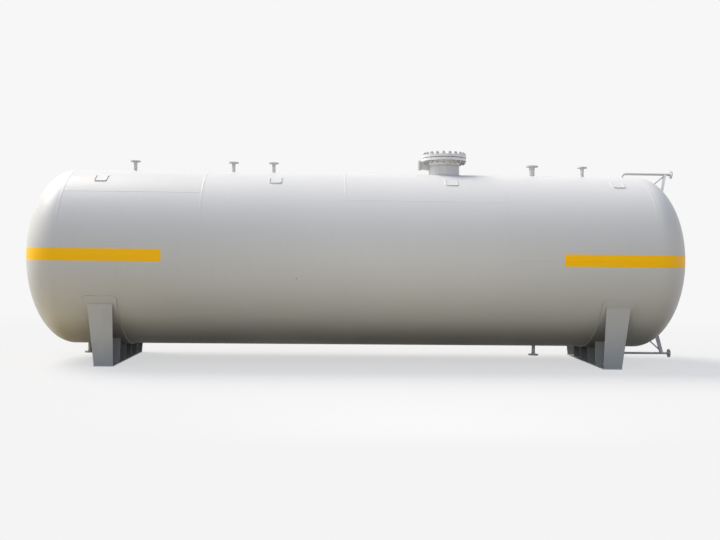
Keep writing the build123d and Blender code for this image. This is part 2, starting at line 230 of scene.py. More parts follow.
# The vessel's plates.
# Four rolled steel courses and two pressed heads, welded together and sprayed light grey, with a yellow band
# at mid height that runs on round each head. The second course has one small chip in its paint.
def start_group(name, takes, gives):
    """An empty shader node group with named inputs and outputs: its tree, its inputs and its output node."""
    group = bpy.data.node_groups.new(name, "ShaderNodeTree")
    for label, kind, value in takes:
        socket = group.interface.new_socket(label, in_out="INPUT", socket_type=kind)
        socket.default_value = value
    for label, kind in gives:
        group.interface.new_socket(label, in_out="OUTPUT", socket_type=kind)
    return group, group.nodes.new("NodeGroupInput").outputs, group.nodes.new("NodeGroupOutput")


def mottle(tree, spot, scale, detail):
    """A noise around 0.5 whose spots get smaller with scale."""
    put = {"Vector": spot, "Scale": scale, "Detail": detail}
    return place(tree, "ShaderNodeTexNoise", put).outputs["Fac"]


FLOAT, COLOUR, VECTOR = "NodeSocketFloat", "NodeSocketColor", "NodeSocketVector"
sprayed, given, give = start_group(
    "sprayed paint",
    [
        ("Colour", COLOUR, (0.5, 0.5, 0.5, 1)),
        ("Patches", FLOAT, 0.05),
        ("Streaks", FLOAT, 0.3),
        ("Underside shade", FLOAT, 0.3),
    ],
    [("Colour", COLOUR), ("Roughness", FLOAT), ("Height", FLOAT)],
)
run_brown, underside_shade_brown = (0.30, 0.28, 0.235, 1), (0.18, 0.145, 0.08, 1)
patch_scale, speck_scale, peel_scale, streak_scale = 0.9, 17.0, 320.0, 1.7
streak_stretch = (7.0, 7.0, 0.45)
underside_starts, underside_full = -0.6, -0.95
paint_smooth, paint_rough, underside_rough = 0.34, 0.46, 0.3
wave_height, peel_height = 0.0035, 0.00004
spot = spot_of(sprayed)
facing = split(sprayed, place(sprayed, "ShaderNodeNewGeometry").outputs["Normal"])
broad = mottle(sprayed, spot, patch_scale, 3.0)
small = mottle(sprayed, spot, speck_scale, 5.0)
peel = mottle(sprayed, spot, peel_scale, 1.0)
drawn_out = place(sprayed, "ShaderNodeMapping", {"Vector": spot, "Scale": streak_stretch}).outputs[0]
runs = ease(sprayed, mottle(sprayed, drawn_out, streak_scale, 5.0), 0.5, 0.78)
upright = work(sprayed, "SUBTRACT", 1.0, work(sprayed, "POWER", facing["Z"], 2.0))
runs = work(sprayed, "MULTIPLY", work(sprayed, "MULTIPLY", runs, upright), given["Streaks"])
# Faces that point down are darkened towards a warm brown: painted shade on the undersides.
below = ease(sprayed, facing["Z"], underside_starts, underside_full)
under = work(sprayed, "MULTIPLY", below, given["Underside shade"])
under = work(sprayed, "MULTIPLY", under, ease(sprayed, broad, 0.2, 0.7, 0.6, 1.0))
swing = work(sprayed, "MULTIPLY", work(sprayed, "SUBTRACT", small, 0.5), 0.5)
swing = work(sprayed, "ADD", work(sprayed, "SUBTRACT", broad, 0.5), swing)
tone = work(sprayed, "MULTIPLY_ADD", swing, given["Patches"], 1.0)
tone = place(sprayed, "ShaderNodeCombineXYZ", {0: tone, 1: tone, 2: tone}).outputs[0]
colour = blend_colour(sprayed, 1.0, given["Colour"], tone, "MULTIPLY")
colour = blend_colour(sprayed, runs, colour, run_brown)
colour = blend_colour(sprayed, under, colour, underside_shade_brown)
rough = ease(sprayed, small, 0.2, 0.8, paint_smooth, paint_rough)
rough = work(sprayed, "ADD", rough, work(sprayed, "MULTIPLY", under, underside_rough))
height = work(sprayed, "MULTIPLY", broad, wave_height)
height = work(sprayed, "ADD", height, work(sprayed, "MULTIPLY", peel, peel_height))
for label, socket in (("Colour", colour), ("Roughness", rough), ("Height", height)):
    sprayed.links.new(socket, give.inputs[label])

Finish = namedtuple("Finish", "material tree coat bump shader")


def painted(name, colour, patches=0.06, streaks=0.15, underside_shade=0.2, gloss=0.15):
    """A sprayed finish: the material, its tree, the paint's node, its bump and its shader."""
    material, tree = empty_material(name)
    put = {"Colour": colour + (1,), "Patches": patches, "Streaks": streaks, "Underside shade": underside_shade}
    coat = place(tree, "ShaderNodeGroup", put, node_tree=sprayed)
    bump = place(tree, "ShaderNodeBump", {"Height": coat.outputs["Height"], "Distance": 1.0, "Strength": 1.0})
    put = {
        "Base Color": coat.outputs["Colour"],
        "Roughness": coat.outputs["Roughness"],
        "Normal": bump.outputs[0],
        "Specular IOR Level": gloss,
    }
    shader = place(tree, "ShaderNodeBsdfPrincipled", put)
    place(tree, "ShaderNodeOutputMaterial", {"Surface": shader.outputs[0]})
    return Finish(material, tree, coat, bump, shader)


def overlay(finish, share, colour):
    """Lays another colour over a sprayed finish by a share, such as dirt, bare steel or painted shade, and
    gives the colour that results.
    """
    over = blend_colour(finish.tree, share, finish.coat.outputs["Colour"], colour)
    finish.tree.links.new(over, finish.shader.inputs["Base Color"])
    return over


def raise_bump(finish, more):
    """Adds to the height that a finish's bump reads."""
    height = finish.bump.inputs["Height"]
    finish.tree.links.new(work(finish.tree, "ADD", height.links[0].from_socket, more), height)


def finish_node(name, material):
    """Gives a CAD node its material."""
    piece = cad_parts[name]
    if not piece.material_slots:
        piece.data.materials.append(material)
    for slot in piece.material_slots:
        slot.material = material


vessel_low, vessel_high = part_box("shell_course_2")
shell_radius = (vessel_high[1] - vessel_low[1]) / 2
axis_height = vessel_high[2] - shell_radius
light_grey = (0.54, 0.54, 0.535)

banded, given, give = start_group(
    "yellow band",
    [("Paint", COLOUR, (0.5, 0.5, 0.5, 1))],
    [("Colour", COLOUR), ("Step", FLOAT)],
)
fresh_yellow, worn_yellow = (0.98, 0.52, 0.001, 1), (0.94, 0.55, 0.008, 1)
left_band_middle, right_band_middle = axis_height + 0.032, axis_height + 0.0165
left_band_end, right_band_end = -2.995, 3.083
band_half_width, band_corner, band_edge, band_wander, band_thickness = 0.0935, 0.03, 0.0015, 0.004, 0.0003
spot = spot_of(banded)
xyz = split(banded, spot)
wander = work(banded, "MULTIPLY", work(banded, "SUBTRACT", mottle(banded, spot, 9.0, 3.0), 0.5), band_wander)
past_left = work(banded, "SUBTRACT", xyz["X"], left_band_end)
past_right = work(banded, "SUBTRACT", right_band_end, xyz["X"])
past_end = work(banded, "MINIMUM", past_left, past_right)
band_middle = ease(banded, xyz["X"], -1.0, 1.0, left_band_middle, right_band_middle)
off_middle = work(banded, "ABSOLUTE", work(banded, "SUBTRACT", xyz["Z"], band_middle))
past_side = work(banded, "ADD", work(banded, "SUBTRACT", off_middle, band_half_width), wander)
outside = work(banded, "SMOOTH_MAX", past_end, past_side, band_corner)
band = ease(banded, outside, band_edge, -band_edge)
worn = ease(banded, mottle(banded, spot, 2.3, 4.0), 0.3, 0.7, 0.0, 0.12)
yellow = blend_colour(banded, worn, fresh_yellow, worn_yellow)
banded.links.new(blend_colour(banded, band, given["Paint"], yellow), give.inputs["Colour"])
banded.links.new(work(banded, "MULTIPLY", band, band_thickness), give.inputs["Step"])


def add_band(finish, paint):
    """Lays the yellow band over a sprayed finish whose colour so far is paint, and gives its material."""
    stripe = place(finish.tree, "ShaderNodeGroup", {"Paint": paint}, node_tree=banded)
    finish.tree.links.new(stripe.outputs["Colour"], finish.shader.inputs["Base Color"])
    raise_bump(finish, stripe.outputs["Step"])
    return finish.material


shell_finish = painted("shell paint", light_grey, patches=0.05, streaks=0.03, underside_shade=0.6)
chip_middle, chip_reach, chip_keeps_to = (-0.975, -1.384, 1.388), 0.012, 0.008
chip_brown = (0.17, 0.13, 0.10, 1)
tree = shell_finish.tree
spot = spot_of(tree)
crumble = work(tree, "SUBTRACT", mottle(tree, spot, 120.0, 3.0), 0.5)
off_chip = work(tree, "MULTIPLY_ADD", crumble, chip_reach, measure(tree, "DISTANCE", spot, chip_middle))
chipped = overlay(shell_finish, ease(tree, off_chip, chip_reach, chip_keeps_to), chip_brown)
shell_paint = add_band(shell_finish, chipped)
for name in (
    "shell_course_1", "shell_course_2", "shell_course_3", "shell_course_4", "head_left", "head_right",
):
    finish_node(name, shell_paint)


# The vessel's seams.
# Girth welds join the courses and heads, and one lengthways weld closes each course. They are low, even
# beads, painted over. The girth welds are ground nearly flush below the shoulders.
def carry(rings, along, closed):
    """Skins a profile carried along a path. rings[i, j] is corner j of the profile at station i, and along[i]
    is how far station i lies along the path. Quads join each ring to the next, a closed path's last ring
    meets its first, and an open path's ends are capped. Returns points, faces and a UV (metres along, share
    across) for each corner of each face."""
    stations, corners = rings.shape[:2]
    i = np.arange(stations if closed else stations - 1)[:, None]
    j = np.arange(corners)[None, :]
    next_i, next_j = (i + 1) % stations, (j + 1) % corners
    quads = np.stack(np.broadcast_arrays(
        i * corners + j, next_i * corners + j, next_i * corners + next_j, i * corners + next_j), -1)
    far = np.append(along, 2 * along[-1] - along[-2])
    across = np.linspace(0.0, 1.0, corners)
    u = np.stack(np.broadcast_arrays(far[i], far[i + 1], far[i + 1], far[i]), -1)
    u = np.broadcast_to(u, (len(i), corners, 4))
    v = np.stack([across[j[0]], across[j[0]], across[next_j[0]], across[next_j[0]]], -1)
    v = np.broadcast_to(v[None], (len(i), corners, 4))
    uv = np.stack([u, v], -1).reshape(-1, 2)
    faces = quads.reshape(-1, 4).tolist()
    if not closed:
        faces += [list(range(corners)), list(range((stations - 1) * corners, stations * corners))]
        uv = np.vstack([uv, np.zeros((2 * corners, 2))])
    return rings.reshape(-1, 3), faces, uv


def lay(name, blocks, material, smooth=True):
    """Joins skinned blocks into one piece of the tank, with a UV map, that rides on the tank."""
    points, faces, uvs, count = [], [], [], 0
    for block_points, block_faces, block_uv in blocks:
        points.append(block_points)
        faces += [[corner + count for corner in face] for face in block_faces]
        uvs.append(block_uv)
        count += len(block_points)
    mesh = bpy.data.meshes.new(name)
    mesh.from_pydata(np.vstack(points).tolist(), [], faces)
    mesh.uv_layers.new(name="along").data.foreach_set("uv", np.vstack(uvs).astype(np.float32).ravel())
    work_mesh = bmesh.new()
    work_mesh.from_mesh(mesh)
    bmesh.ops.recalc_face_normals(work_mesh, faces=work_mesh.faces)
    work_mesh.to_mesh(mesh)
    work_mesh.free()
    mesh.polygons.foreach_set("use_smooth", [smooth] * len(mesh.polygons))
    mesh.materials.append(material)
    piece = bpy.data.objects.new(name, mesh)
    bpy.context.scene.collection.objects.link(piece)
    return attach(piece, "root")


def unit(rows):
    """Each row of an array as a direction of length one."""
    return rows / np.linalg.norm(rows, axis=-1, keepdims=True)


def run_of(path):
    """How far each point of a path lies along it."""
    return np.append(0.0, np.cumsum(np.linalg.norm(np.diff(path, axis=0), axis=1)))


cap_points, fillet_points = 7, 6
fillet_bulge, fillet_root = 0.7, 0.2


def cap_bead(path, up, across, width, height, closed):
    """A butt weld's cap: a parabola over its width, height (1 - t^2) at t from -1 to 1 across, with its root
    sunk below the plates. height is one number, or one for each point of the path."""
    t = np.linspace(-1.0, 1.0, cap_points)[None, :, None]
    height = np.reshape(height, (-1, 1, 1))
    top = path[:, None] + across[:, None] * (t * width / 2) + up[:, None] * (height * (1 - t**2))
    root = path[:, None] - up[:, None] * height.max()
    return carry(np.concatenate([top, root], 1), run_of(path), closed)


def corner_bead(corner, first, second, leg, closed):
    """A fillet weld in a corner. first and second point away from the corner along the two faces. Its face is
    the straight line between the two toes, bulged by t (1 - t) times fillet_bulge of the leg along the
    corner's half angle."""
    t = np.linspace(0.0, 1.0, fillet_points)[None, :, None]
    half = unit(first + second)[:, None]
    chord = (1 - t) * first[:, None] + t * second[:, None]
    face = corner[:, None] + leg * (chord + fillet_bulge * t * (1 - t) * half)
    root = corner[:, None] - fillet_root * leg * half
    return carry(np.concatenate([face, root], 1), run_of(corner), closed)


rippled, given, give = start_group(
    "weld ripple",
    [("Pitch", FLOAT, 0.006), ("Height", FLOAT, 0.0006)],
    [("Height", FLOAT), ("Toe", FLOAT)],
)
# across_face spreads a bead's face, the first 5/6 or 6/7 of its UV, from about -1 to 1
across_face, ripple_bow, toe_starts = 2.4, 0.7, 0.75
uv = split(rippled, place(rippled, "ShaderNodeUVMap", uv_map="along").outputs[0])
off_centre = work(rippled, "SUBTRACT", work(rippled, "MULTIPLY", uv["Y"], across_face), 1.0)
bow = work(rippled, "MULTIPLY", work(rippled, "POWER", off_centre, 2.0), ripple_bow)
phase = work(rippled, "SUBTRACT", work(rippled, "DIVIDE", uv["X"], given["Pitch"]), bow)
wave = work(rippled, "SINE", work(rippled, "MULTIPLY", phase, 2 * math.pi))
rippled.links.new(work(rippled, "MULTIPLY", wave, given["Height"]), give.inputs["Height"])
rippled.links.new(ease(rippled, work(rippled, "ABSOLUTE", off_centre), toe_starts, 1.0), give.inputs["Toe"])
# Weld toes are darkened: a little dirt, and painted shade in the crease.
toe_dirt_and_shade = (0.27, 0.25, 0.21, 1)


def weld_finish(name, colour, pitch, height, toe_darkening, crosses_band=False, underside_shade=0.2):
    """The paint over a weld: its ripples as bump, and a little dirt and painted crease shade along its toes.
    """
    finish = painted(name, colour, streaks=0.05, underside_shade=underside_shade)
    ripple = place(finish.tree, "ShaderNodeGroup", {"Pitch": pitch, "Height": height}, node_tree=rippled)
    darkened_toes = overlay(finish, work(finish.tree, "MULTIPLY", ripple.outputs["Toe"], toe_darkening), toe_dirt_and_shade)
    raise_bump(finish, ripple.outputs["Height"])
    return add_band(finish, darkened_toes) if crosses_band else finish.material


hoop_stations = 384


def hoop(x, radius):
    """A circle round the vessel's axis at x: its points, and the way out from the axis at each."""
    turn = np.linspace(0, 2 * np.pi, hoop_stations, endpoint=False)
    out = np.stack([0 * turn, np.sin(turn), np.cos(turn)], -1)
    return out * radius + [x, 0, axis_height], out


lengthways = np.array([[1.0, 0.0, 0.0]])
seam_grey = (0.542, 0.542, 0.537)
seam_paint = weld_finish(
    "seam paint", seam_grey, pitch=0.009, height=0.0001, toe_darkening=0.07, crosses_band=True, underside_shade=0.6
)
girth_seams = sorted({round(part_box(f"shell_course_{n}")[end][0], 4) for n in (1, 2, 3, 4) for end in (0, 1)})
girth_width, girth_heights = 0.030, (0.002, 0.0024, 0.0022, 0.0013, 0.0015)
# Up to what height each girth weld is ground, and over what rise it comes back, in shares of the radius
shoulders, shoulder_rise, ground_share = (0.3, 0.3, 0.6, 0.3, 0.3), 0.15, 0.1
# Each course's number, how far its seam lies round from the top in degrees, and how high the bead stands
long_seams = ((1, -44.6, 0.0027), (2, 52.0, 0.002), (3, -50.0, 0.0018), (4, -89.5, 0.002))
long_width, long_stations = 0.020, 40
blocks = []
for x, height, shoulder in zip(girth_seams, girth_heights, shoulders):
    path, out = hoop(x, shell_radius)
    left_on = np.clip((out[:, 2] - shoulder) / shoulder_rise, 0.0, 1.0)
    height = height * (ground_share + (1 - ground_share) * left_on)
    blocks.append(cap_bead(path, out, np.repeat(lengthways, len(path), 0), girth_width, height, True))
for course, down_from_top, height in long_seams:
    start, stop = (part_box(f"shell_course_{course}")[end][0] for end in (0, 1))
    x = np.linspace(start, stop, long_stations)
    lean = math.radians(down_from_top)
    out = np.repeat([[0.0, math.sin(lean), math.cos(lean)]], long_stations, 0)
    path = out * shell_radius + np.stack([x, 0 * x, 0 * x + axis_height], -1)
    side = np.repeat([[0.0, math.cos(lean), -math.sin(lean)]], long_stations, 0)
    blocks.append(cap_bead(path, out, side, long_width, height, False))
# Flat facets, because smoothed normals at the toes of so low a bead would shade it as a groove
lay("shell_seams", blocks, seam_paint, smooth=False)


# The saddles.
# Each is a base plate, an upright web with ribs on both sides, two sloping end plates and a curved wrapper
# plate, all welded and painted. Painted shade, tinted blue as a painted sky reflection, darkens the foot, and
# painted shade darkens the web, the ribs and the wrapper's low end.
saddle_grey = (0.49, 0.49, 0.48)
foot_shade_colour, wrapper_shade, inside_shade = (0.21, 0.25, 0.26, 1), (0.13, 0.13, 0.12, 1), (0.125, 0.13, 0.125, 1)
shade_edge_wander, foot_shade_ends, foot_shade_full, foot_shade_share = 0.25, 0.75, -0.15, 0.47
wrapper_shade_from, wrapper_shade_to, wrapper_shade_share = 0.85, 0.3, 0.65
open_end, deep_inside, end_share, inside_share = 1.1, 0.1, 0.36, 0.85
saddle_finish = painted("saddle paint", saddle_grey, streaks=0.2, underside_shade=0.1)
tree = saddle_finish.tree
spot = spot_of(tree)
# End plates and base darken and turn bluish towards the foot, with an uneven edge: painted shade and a painted
# sky reflection.
shade_edge_noise = work(tree, "SUBTRACT", mottle(tree, spot, 5.0, 6.0), 0.5)
level = work(tree, "MULTIPLY_ADD", shade_edge_noise, shade_edge_wander, split(tree, spot)["Z"])
overlay(saddle_finish, ease(tree, level, foot_shade_ends, foot_shade_full, 0.0, foot_shade_share), foot_shade_colour)
# The wrapper darkens towards its low end under the tank: painted shade.
wrapper_finish = painted("wrapper paint", light_grey, patches=0.05, streaks=0.06, underside_shade=0.5)
tree = wrapper_finish.tree
level = split(tree, spot_of(tree))["Z"]
wrapper_shade_mask = ease(tree, level, wrapper_shade_from, wrapper_shade_to, 0.0, wrapper_shade_share)
overlay(wrapper_finish, wrapper_shade_mask, wrapper_shade)
# The web and ribs darken towards the middle, deep under the tank: painted shade.
inside_finish = painted("saddle inside paint", saddle_grey, streaks=0.3, underside_shade=0.1)
tree = inside_finish.tree
off_middle = work(tree, "ABSOLUTE", split(tree, spot_of(tree))["Y"])
overlay(inside_finish, ease(tree, off_middle, open_end, deep_inside, end_share, inside_share), inside_shade)
saddle_weld_grey = (0.38, 0.38, 0.37)
saddle_weld_paint = weld_finish("saddle weld paint", saddle_weld_grey, pitch=0.007, height=0.0005, toe_darkening=0.35)

wrapper_gap, wrapper_thickness, wrapper_half_width = 0.0003, 0.012, 0.2525
wrapper_half_angle, wrapper_corner = math.radians(65.5), 0.060
seat_radius = shell_radius + wrapper_thickness + 2 * wrapper_gap
base_thickness, plate, base_half_length = 0.016, 0.014, 1.020
foot_half, head_half = 0.145, 0.188
rib_rows = np.array([-0.612, -0.204, 0.204, 0.612])
horn_height = axis_height - seat_radius / 2
horn_reach = seat_radius * math.sqrt(0.75)
lean_out = (horn_reach + plate - base_half_length) / (horn_height - base_thickness)
taper = (head_half - foot_half) / (horn_height - base_thickness)
web_swing, web_stations = 58, 60
wrapper_leg, horn_leg, plate_leg = 0.006, 0.010, 0.007
corner_points, longest_step = 9, 0.05


def straight(start, stop, count=12):
    """Points on the straight line between two corners."""
    return np.linspace(start, stop, count)


def beside(first, second, path, leg=plate_leg):
    """A fillet weld along a path whose two faces keep their directions."""
    first, second = (np.repeat(unit(np.array([way], float)), len(path), 0) for way in (first, second))
    return corner_bead(path, first, second, leg, False)


def seat_height(y):
    """Height of the wrapper's outside above the floor at a distance y from the middle."""
    return axis_height - math.sqrt(seat_radius**2 - y**2)


for side in ("left", "right"):
    low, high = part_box(f"saddle_{side}_base")
    middle = (low[0] + high[0]) / 2
    for part in ("base", "end_plates"):
        finish_node(f"saddle_{side}_{part}", saddle_finish.material)
    for part in ("web", "ribs"):
        finish_node(f"saddle_{side}_{part}", inside_finish.material)
    finish_node(f"saddle_{side}_wrapper", wrapper_finish.material)

    # Round the wrapper's edge, on the shell: a rectangle with round corners, bent round the vessel
    flat_x = wrapper_half_width - wrapper_corner
    flat_s = wrapper_half_angle * shell_radius - wrapper_corner
    arc = np.linspace(0, np.pi / 2, corner_points)
    quarter = np.stack([np.cos(arc), np.sin(arc)], -1)
    quarter_turns = ((1, 0), (0, 1), (-1, 0), (0, -1))
    turned = np.concatenate([quarter @ np.array([[c, s], [-s, c]]) for c, s in quarter_turns])
    centres = [[flat_x, flat_s], [-flat_x, flat_s], [-flat_x, -flat_s], [flat_x, -flat_s]]
    outline = np.repeat(centres, corner_points, 0) + turned * wrapper_corner
    pieces = []
    for a in range(len(outline)):
        b = (a + 1) % len(outline)
        gap = np.linalg.norm(outline[b] - outline[a])
        share = np.linspace(0, 1, max(2, int(gap / longest_step) + 1))[:-1, None]
        flat = outline[a] * (1 - share) + outline[b] * share
        away = unit(turned[a] * (1 - share) + turned[b] * share)
        pieces.append(np.hstack([flat, away]))
    rim = np.vstack(pieces)
    bend = rim[:, 1] / shell_radius
    out = np.stack([0 * bend, np.sin(bend), -np.cos(bend)], -1)
    round_way = np.stack([0 * bend, np.cos(bend), np.sin(bend)], -1)
    corner = out * shell_radius + np.stack([middle + rim[:, 0], 0 * bend, 0 * bend + axis_height], -1)
    away = rim[:, 2:3] * lengthways + rim[:, 3:4] * round_way
    blocks = [corner_bead(corner, away, out, wrapper_leg, True)]

    inner_foot = base_half_length - plate * math.sqrt(1 + lean_out**2)
    for near in (-1, 1):
        # End plate to the base on its inner face, and its top to the wrapper
        y = near * inner_foot
        foot = straight((middle - foot_half, y, base_thickness), (middle + foot_half, y, base_thickness))
        blocks.append(beside((0, -near, 0), (0, near * lean_out, 1), foot))
        y = near * horn_reach
        horn = straight((middle - head_half, y, horn_height), (middle + head_half, y, horn_height))
        blocks.append(beside((0, near, 0), (0, near * 0.5, math.sqrt(0.75)), horn, horn_leg))
        # Web to the base, and web to the wrapper
        web_x = middle + near * plate / 2
        reach = straight((web_x, -inner_foot, base_thickness), (web_x, inner_foot, base_thickness), 40)
        blocks.append(beside((near, 0, 0), (0, 0, 1), reach))
        swing = np.radians(np.linspace(-web_swing, web_swing, web_stations))
        out = np.stack([0 * swing, np.sin(swing), -np.cos(swing)], -1)
        web_head = out * seat_radius + [web_x, 0, axis_height]
        web_side = near * np.repeat(lengthways, web_stations, 0)
        blocks.append(corner_bead(web_head, web_side, out, plate_leg, False))
        # Each rib to the base, the web and the wrapper, on both its faces
        for y in rib_rows:
            top = seat_height(abs(y) + plate / 2)
            foot_x = middle + near * foot_half
            top_x = middle + near * (foot_half + taper * (top - base_thickness))
            for face in (-1, 1):
                edge = y + face * plate / 2
                foot = straight((web_x, edge, base_thickness), (foot_x, edge, base_thickness))
                blocks.append(beside((0, face, 0), (0, 0, 1), foot))
                rise = straight((web_x, edge, base_thickness), (web_x, edge, top))
                blocks.append(beside((0, face, 0), (near, 0, 0), rise))
                slope = edge / math.sqrt(seat_radius**2 - edge**2)
                head = straight((web_x, edge, seat_height(edge)), (top_x, edge, seat_height(edge)))
                blocks.append(beside((0, face, face * slope), (0, 0, -1), head))
    lay(f"saddle_{side}_welds", blocks, saddle_weld_paint)


# The manhole.
# A short neck of 508 mm pipe carries a weld-neck flange. A blind cover is bolted down on it over a dark fibre
# gasket that shows as a thin line.
fitting_grey = (0.50, 0.50, 0.495)
fitting_paint = painted("fitting paint", fitting_grey, streaks=0.2, underside_shade=0.2, gloss=0.5).material
fitting_weld_paint = weld_finish("fitting weld paint", fitting_grey, pitch=0.006, height=0.0005, toe_darkening=0.3)
# The flange and cover are drawn lighter and bluer than the neck, in the same paint: painted light.
lit_cover_paint = painted("lit cover paint", (0.65, 0.655, 0.67), streaks=0.15, underside_shade=0.2, gloss=0.3).material
finish_node("manhole_neck", fitting_paint)
for name in ("manhole_flange", "manhole_cover"):
    finish_node(name, lit_cover_paint)

fibre, tree = empty_material("gasket fibre")
speck = mottle(tree, spot_of(tree), 420.0, 3.0)
fibre_black, fibre_grey = (0.030, 0.030, 0.032, 1), (0.085, 0.082, 0.078, 1)
fibre_colour = blend_colour(tree, ease(tree, speck, 0.35, 0.75), fibre_black, fibre_grey)
fibre_rough = ease(tree, speck, 0.2, 0.8, 0.78, 0.95)
fuzz = place(tree, "ShaderNodeBump", {"Height": speck, "Distance": 0.0004, "Strength": 0.6})
put = {"Base Color": fibre_colour, "Roughness": fibre_rough, "Normal": fuzz.outputs[0]}
shader = place(tree, "ShaderNodeBsdfPrincipled", put)
place(tree, "ShaderNodeOutputMaterial", {"Surface": shader.outputs[0]})
finish_node("manhole_gasket", fibre)


foot_stations, pipe_stations = 64, 48


def pipe_foot(x, radius, way, leg):
    """Fillet weld where an upright pipe meets the shell: the curve z = sqrt(R^2 - (r sin t)^2), with one toe
    out along the shell's slope and one along the pipe."""
    turn = np.linspace(0, 2 * np.pi, foot_stations, endpoint=False)
    flat = np.stack([np.cos(turn), np.sin(turn), 0 * turn], -1)
    rise = way * np.sqrt(shell_radius**2 - (radius * np.sin(turn)) ** 2)
    corner = flat * radius + np.stack([0 * turn + x, 0 * turn, axis_height + rise], -1)
    normal = unit(np.stack([0 * turn, corner[:, 1], rise], -1))
    along_shell = unit(flat - normal * (flat * normal).sum(1, keepdims=True))
    return corner_bead(corner, along_shell, np.repeat([[0.0, 0.0, way]], len(turn), 0), leg, True)


def pipe_seam(centre, radius, axis, width, height):
    """Butt weld round a pipe: a circle across its axis, 0 for X and 2 for Z."""
    turn = np.linspace(0, 2 * np.pi, pipe_stations, endpoint=False)
    out = np.zeros((len(turn), 3))
    out[:, (axis + 1) % 3], out[:, (axis + 2) % 3] = np.cos(turn), np.sin(turn)
    across = np.zeros((len(turn), 3))
    across[:, axis] = 1.0
    return cap_bead(out * radius + centre, out, across, width, height, True)


neck_low, neck_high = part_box("manhole_neck")
manhole_x = (neck_low[0] + neck_high[0]) / 2
neck_radius = (neck_high[0] - neck_low[0]) / 2
neck_leg, neck_seam_width, neck_seam_height = 0.014, 0.020, 0.0025
blocks = [
    pipe_foot(manhole_x, neck_radius, 1, neck_leg),
    pipe_seam((manhole_x, 0, neck_high[2]), neck_radius, 2, neck_seam_width, neck_seam_height),
]
lay("manhole_welds", blocks, fitting_weld_paint)


# The manhole's studs and nuts.
# Twenty M33 stud bolts, threaded from end to end, each with a hexagon nut at both ends, chamfered and painted
# over with the cover. The paint has come off in small chips.
stud_count, bolt_circle = 20, 0.660
stud_radius, thread_pitch, thread_depth, stud_chamfer = 0.0165, 0.0035, 0.0021, 0.0025
fine_end, inside_nut, gap_lap = 0.0165, 0.04, 0.006
stud_sides, nut_sides = 18, 36
nut_flats, nut_height, cone_starts, bore_share = 0.050, 0.031, 0.985, 0.9
nut_chamfer_steps = np.array([0.0, 0.0, 0.0012, 0.0025, 0.005])
flange_thickness = 0.048
studs_low, studs_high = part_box("manhole_studs")
cover_low, cover_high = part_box("manhole_cover")
flange_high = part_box("manhole_flange")[1]


def stud_skin(low, high):
    """A threaded bar on the Z axis. Its radius is the crest's less the thread's depth times a triangle wave
    of z / pitch - turn / 360 degrees, and its ends taper and close on a point at their middle. The thread is
    drawn finely where it shows: past the nuts, and between the flange and the cover."""
    ends = np.concatenate([[0.0, 0.0], np.arange(0.0, fine_end, thread_pitch / 5)])
    gap = np.linspace(flange_high[2] - gap_lap, cover_low[2] + gap_lap, 18)
    z = np.concatenate([low + ends, [low + inside_nut], gap, [high - inside_nut], (high - ends)[::-1]])
    z = z[:, None]
    turn = np.linspace(0, 2 * np.pi, stud_sides, endpoint=False)[None, :]
    phase = z / thread_pitch - turn / (2 * np.pi)
    wave = np.abs(2 * (phase - np.floor(phase)) - 1)
    radius = stud_radius - thread_depth * wave
    from_end = np.minimum(z - low, high - z)
    radius = np.minimum(radius, stud_radius - stud_chamfer + from_end)
    radius[0], radius[-1] = 0.0, 0.0
    return np.stack([radius * np.cos(turn), radius * np.sin(turn), np.broadcast_to(z, radius.shape)], -1)


def nut_skin(low, high):
    """A hexagon nut on the Z axis. Its radius is half its width over flats divided by the cosine of the turn
    from the nearest flat, cut by a 30 degree cone at both ends, and it closes on the bar inside."""
    half = nut_flats / 2
    z = np.concatenate([low + nut_chamfer_steps, high - nut_chamfer_steps[::-1]])[:, None]
    turn = np.linspace(0, 2 * np.pi, nut_sides, endpoint=False)[None, :]
    from_flat = (turn + math.pi / 6) % (math.pi / 3) - math.pi / 6
    hexagon = half / np.cos(from_flat)
    from_end = np.minimum(z - low, high - z)
    radius = np.minimum(hexagon, half * cone_starts + from_end * math.sqrt(3))
    radius[0], radius[-1] = stud_radius * bore_share, stud_radius * bore_share
    return np.stack([radius * np.cos(turn), radius * np.sin(turn), np.broadcast_to(z, radius.shape)], -1)


def closed_turn(rings, centre, pointed):
    """Skins rings round the Z axis, moved to a centre. Pointed ends are rings of no radius that become one
    point each, and other ends lie inside another solid and are capped."""
    rows, corners = rings.shape[:2]
    start, stop = (1, rows - 1) if pointed else (0, rows)
    body = rings[start:stop].reshape(-1, 3)
    count = stop - start
    i = np.arange(count - 1)[:, None]
    j = np.arange(corners)[None, :]
    next_j = (j + 1) % corners
    quads = np.stack(np.broadcast_arrays(
        i * corners + j, i * corners + next_j, (i + 1) * corners + next_j, (i + 1) * corners + j), -1)
    faces = quads.reshape(-1, 4).tolist()
    last = (count - 1) * corners
    if pointed:
        body = np.vstack([body, rings[0, 0], rings[-1, 0]])
        low_point, high_point = len(body) - 2, len(body) - 1
        faces += [[(k + 1) % corners, k, low_point] for k in range(corners)]
        faces += [[last + k, last + (k + 1) % corners, high_point] for k in range(corners)]
    else:
        faces += [list(range(corners))[::-1], list(range(last, last + corners))]
    loops = sum(len(face) for face in faces)
    return body + centre, faces, np.zeros((loops, 2))


stud_finish = painted("stud paint", (0.46, 0.46, 0.455), streaks=0.1, underside_shade=0.5)
bare_steel, bare_share, bare_metal = (0.115, 0.10, 0.088, 1), 0.8, 0.6
tree = stud_finish.tree
bare = ease(tree, mottle(tree, spot_of(tree), 65.0, 4.0), 0.58, 0.66, 0.0, bare_share)
overlay(stud_finish, bare, bare_steel)
tree.links.new(work(tree, "MULTIPLY", bare, bare_metal), stud_finish.shader.inputs["Metallic"])

